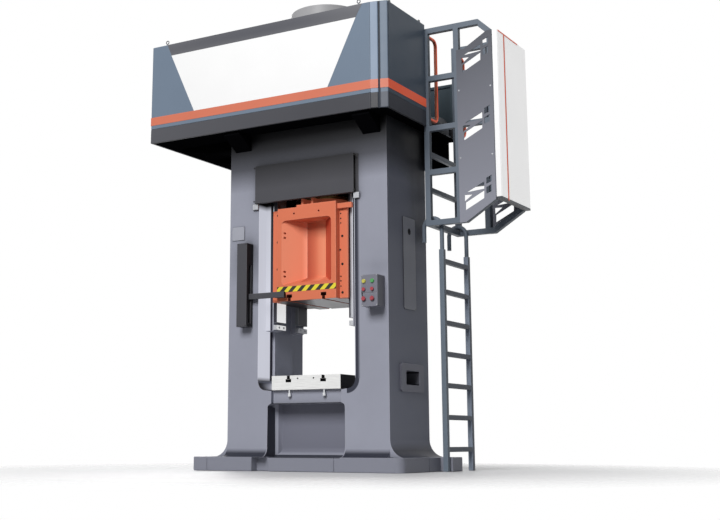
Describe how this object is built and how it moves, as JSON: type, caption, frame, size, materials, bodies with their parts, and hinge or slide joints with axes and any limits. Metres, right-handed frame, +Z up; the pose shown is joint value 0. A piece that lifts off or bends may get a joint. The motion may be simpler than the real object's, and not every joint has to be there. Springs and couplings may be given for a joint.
{
  "type": "electric screw press",
  "caption": "Electric screw press: cast window frame, guided slide on a screw and nut under a top motor, walkway parapet, caged access ladder and push-button box.",
  "frame": {"origin": "on the floor plane, under the middle of the cast frame and on the screw's axis", "axes": "+X to the right of a person facing the press, +Y from front to back, +Z up along the screw"},
  "size_m": [3.5825, 1.8105, 4.645],
  "materials": {
    "frame_grey": "satin machine paint",
    "slide_orange": "satin machine paint",
    "bolster_steel": "ground",
    "bright_steel": "turned",
    "rail_steel": "ground",
    "cover_dark": "fine texture paint",
    "plate_grey": "satin machine paint",
    "control_grey": "fine texture paint",
    "lamp_lens": "clear tinted lens",
    "button_red": "moulded",
    "deck_black": "matt paint",
    "skirt_dark": "satin paint",
    "crown_blue": "satin paint",
    "crown_light": "satin paint",
    "trim_orange": "satin paint",
    "sign_white": "satin paint",
    "drive_grey": "satin paint",
    "winding": "varnished stack",
    "rotor_iron": "turned",
    "cap_grey": "satin paint",
    "tube_blue": "satin paint",
    "tube_light": "satin paint",
    "hazard_yellow": "gloss paint",
    "bronze": "machined"
  },
  "bodies": {
    "press": {"frame_body": "frame_grey", "bolster_plate": "bolster_steel", "bolster_screws": "bright_steel", "front_rails": "rail_steel", "rear_rails": "rail_steel", "rail_keepers": "rail_steel", "front_cover": "cover_dark", "rear_cover": "cover_dark", "cover_rests": "rail_steel", "side_cover": "plate_grey", "column_plaque": "plate_grey", "sensor_housing": "cover_dark", "control_box": "control_grey", "indicator_lamps": "lamp_lens", "deck_plate": "deck_black", "deck_brackets": "deck_black", "deck_skirt": "skirt_dark", "front_panel": "crown_blue", "corner_post": "crown_light", "right_panel": "crown_blue", "left_panel": "crown_blue", "rear_panel": "crown_blue", "crown_stripe": "trim_orange", "sign_panel": "sign_white", "panel_eyes": "bright_steel", "lower_bush": "bronze", "thrust_bearing": "bright_steel", "bearing_cap": "drive_grey", "motor_housing": "drive_grey", "motor_stator": "winding", "upper_bearing": "bright_steel", "end_shield": "drive_grey", "brake_calipers": "drive_grey", "motor_cap": "cap_grey", "conduit_elbow": "cap_grey", "cage_front_frame": "tube_blue", "cage_rear_frame": "tube_blue", "cage_plates": "tube_light", "cage_screen": "sign_white", "screen_trim": "trim_orange", "cage_rungs": "tube_blue", "grab_handles": "trim_orange", "ladder_stiles": "tube_blue", "ladder_rungs": "tube_blue", "ladder_hooks": "tube_blue"},
    "slide": {"slide_body": "slide_orange", "slide_gibs": "bronze", "wing_plates": "slide_orange", "screw_nut": "bronze", "wiper_bar": "slide_orange", "hazard_strip": "hazard_yellow", "sensor_arm": "cover_dark"},
    "screw": {"main_screw": "bright_steel", "flywheel": "rotor_iron", "motor_rotor": "rotor_iron", "brake_disc": "bright_steel"},
    "left_start_button": {"left_start_button": "button_red"},
    "right_start_button": {"right_start_button": "button_red"},
    "left_stop_button": {"left_stop_button": "button_red"},
    "right_stop_button": {"right_stop_button": "button_red"}
  },
  "joints": [
    {"name": "slide_travel", "type": "slide", "parent": "press", "child": "slide", "axis": [0, 0, 1], "range_m": [-0.22, 0.28]},
    {"name": "screw_spin", "type": "hinge", "parent": "press", "child": "screw", "pos_m": [0, 0, 3], "axis": [0, 0, 1], "range_deg": [-395, 310]},
    {"name": "left_start_press", "type": "slide", "parent": "press", "child": "left_start_button", "axis": [0, 1, 0], "range_m": [0, 0.006], "stiffness_N_per_m": 900},
    {"name": "right_start_press", "type": "slide", "parent": "press", "child": "right_start_button", "axis": [0, 1, 0], "range_m": [0, 0.006], "stiffness_N_per_m": 900},
    {"name": "left_stop_press", "type": "slide", "parent": "press", "child": "left_stop_button", "axis": [0, 1, 0], "range_m": [0, 0.006], "stiffness_N_per_m": 900},
    {"name": "right_stop_press", "type": "slide", "parent": "press", "child": "right_stop_button", "axis": [0, 1, 0], "range_m": [0, 0.006], "stiffness_N_per_m": 900}
  ],
  "couplings": [
    {"joint": "screw_spin", "follows": "slide_travel", "rad_per_m": -24.166}
  ]
}
